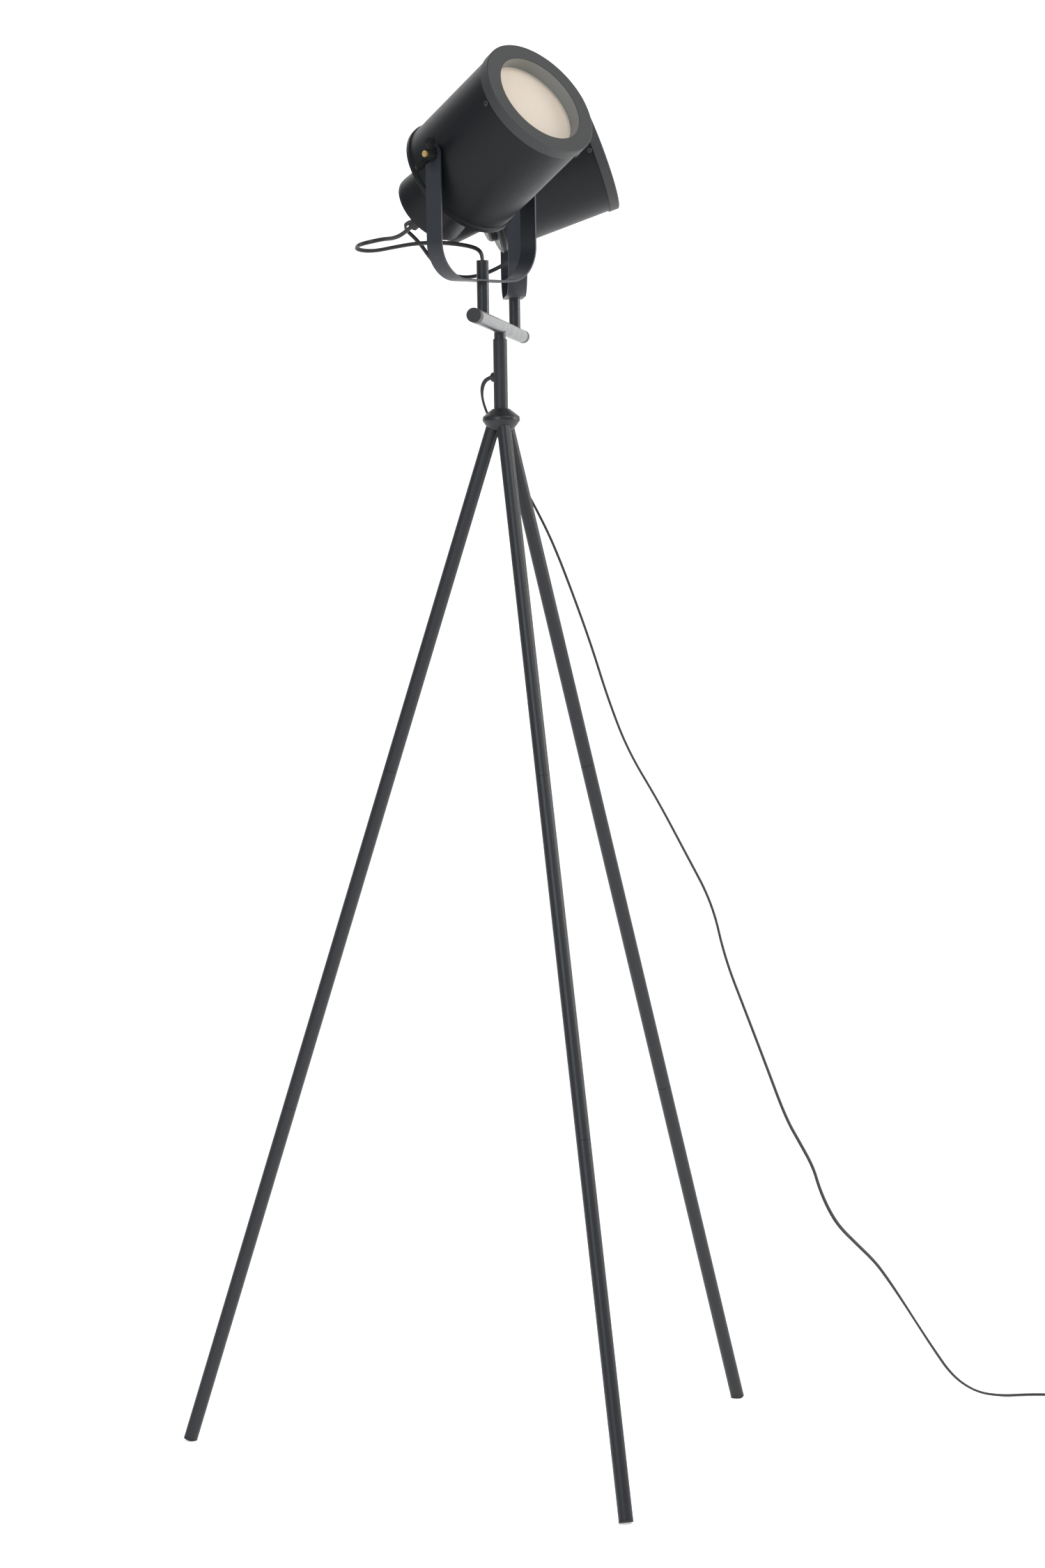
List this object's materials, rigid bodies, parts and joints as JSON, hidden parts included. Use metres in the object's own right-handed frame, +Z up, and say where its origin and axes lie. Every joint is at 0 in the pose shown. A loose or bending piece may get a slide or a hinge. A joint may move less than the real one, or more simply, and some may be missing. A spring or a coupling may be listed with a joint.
{
  "type": "tripod floor lamp",
  "caption": "Floor lamp on a splayed tube tripod: spot heads in tilting yokes stand on a swivelling crossbar, with a mains cord and foot switch",
  "frame": {"origin": "on the floor below the middle of the hub", "axes": "+Z up, -Y along the front leg, +X to the right"},
  "size_m": [1.2193, 0.7492, 1.777],
  "materials": {
    "charcoal_coat": "satin powder coat, charcoal",
    "black_plastic": "matt moulded black",
    "cord_pvc": "dark grey-brown soft PVC",
    "zinc_steel": "zinc plated",
    "nickel_pins": "nickel plated brass",
    "opal_diffuser": "opal, cream",
    "black_screws": "blackened, pan head",
    "porcelain": "glazed white ceramic",
    "frosted_glass": "frosted",
    "brass": "turned, threaded"
  },
  "bodies": {
    "stand": {"hub": "charcoal_coat", "leg_front_lower": "charcoal_coat", "leg_front_middle": "charcoal_coat", "leg_front_upper": "charcoal_coat", "leg_right_lower": "charcoal_coat", "leg_right_middle": "charcoal_coat", "leg_right_upper": "charcoal_coat", "leg_left_lower": "charcoal_coat", "leg_left_middle": "charcoal_coat", "leg_left_upper": "charcoal_coat", "foot_plugs": "black_plastic", "leg_studs": "zinc_steel", "stem_tube": "charcoal_coat", "stem_fittings": "zinc_steel", "cable_grommet": "black_plastic", "mains_cord": "cord_pvc", "mains_cord_tails": "cord_pvc", "mains_cord_coil": "cord_pvc", "foot_switch_body": "black_plastic", "plug_body": "black_plastic", "plug_pins": "nickel_pins"},
    "foot_pedal": {"foot_switch_pedal": "black_plastic"},
    "crossbar": {"crossbar_tube": "charcoal_coat", "crossbar_end_plugs": "black_plastic", "bar_collars": "charcoal_coat", "crossbar_nipples": "zinc_steel", "post_a": "charcoal_coat", "post_b": "charcoal_coat"},
    "yoke_a": {"yoke_strap_a": "charcoal_coat", "cord_sleeve_a": "charcoal_coat", "head_lead_a": "cord_pvc"},
    "head_a": {"can_a": "charcoal_coat", "bezel_a": "charcoal_coat", "diffuser_frame_a": "charcoal_coat", "diffuser_a": "opal_diffuser", "bezel_screws_a": "black_screws", "rear_housing_a": "charcoal_coat", "cord_gland_a": "black_plastic", "lampholder_a": "porcelain", "lamp_bulb_a": "frosted_glass", "pivot_studs_a": "brass", "pivot_spacers_a": "charcoal_coat"},
    "wing_nut_a_left": {"wing_nut_a_left": "charcoal_coat"},
    "wing_nut_a_right": {"wing_nut_a_right": "charcoal_coat"},
    "yoke_b": {"yoke_strap_b": "charcoal_coat", "cord_sleeve_b": "charcoal_coat", "head_lead_b": "cord_pvc"},
    "head_b": {"can_b": "charcoal_coat", "bezel_b": "charcoal_coat", "diffuser_frame_b": "charcoal_coat", "diffuser_b": "opal_diffuser", "bezel_screws_b": "black_screws", "rear_housing_b": "charcoal_coat", "cord_gland_b": "black_plastic", "lampholder_b": "porcelain", "lamp_bulb_b": "frosted_glass", "pivot_studs_b": "brass", "pivot_spacers_b": "charcoal_coat"},
    "wing_nut_b_left": {"wing_nut_b_left": "charcoal_coat"},
    "wing_nut_b_right": {"wing_nut_b_right": "charcoal_coat"}
  },
  "joints": [
    {"name": "pedal_press", "type": "slide", "parent": "stand", "child": "foot_pedal", "axis": [0, 0, -1], "range_m": [0, 0.003], "stiffness_N_per_m": 700, "springref_m": -0.002},
    {"name": "crossbar_swivel", "type": "hinge", "parent": "stand", "child": "crossbar", "pos_m": [0, 0, 1.43], "axis": [0, 0, 1], "range_deg": [-170, 170]},
    {"name": "yoke_a_swivel", "type": "hinge", "parent": "crossbar", "child": "yoke_a", "pos_m": [-0.07845, -0.1894, 1.494], "axis": [0, 0, 1], "range_deg": [-170, 170]},
    {"name": "head_a_tilt", "type": "hinge", "parent": "yoke_a", "child": "head_a", "pos_m": [-0.07845, -0.1894, 1.645], "axis": [-0.8678, -0.497, 0], "range_deg": [-72, 42], "deforming": ["head_lead_a"]},
    {"name": "wing_nut_a_left_turn", "type": "hinge", "parent": "head_a", "child": "wing_nut_a_left", "pos_m": [-0.00035, -0.14467, 1.645], "axis": [0.8678, 0.497, 0], "continuous": true},
    {"name": "wing_nut_a_right_turn", "type": "hinge", "parent": "head_a", "child": "wing_nut_a_right", "pos_m": [-0.15655, -0.23412, 1.645], "axis": [-0.8678, -0.497, 0], "continuous": true},
    {"name": "yoke_b_swivel", "type": "hinge", "parent": "crossbar", "child": "yoke_b", "pos_m": [0.07845, 0.1894, 1.494], "axis": [0, 0, 1], "range_deg": [-170, 170]},
    {"name": "head_b_tilt", "type": "hinge", "parent": "yoke_b", "child": "head_b", "pos_m": [0.07845, 0.1894, 1.645], "axis": [-0.2351, -0.972, 0], "range_deg": [-60, 55], "deforming": ["head_lead_b"]},
    {"name": "wing_nut_b_left_turn", "type": "hinge", "parent": "head_b", "child": "wing_nut_b_left", "pos_m": [0.09961, 0.27687, 1.645], "axis": [0.2351, 0.972, 0], "continuous": true},
    {"name": "wing_nut_b_right_turn", "type": "hinge", "parent": "head_b", "child": "wing_nut_b_right", "pos_m": [0.05729, 0.10192, 1.645], "axis": [-0.2351, -0.972, 0], "continuous": true}
  ]
}
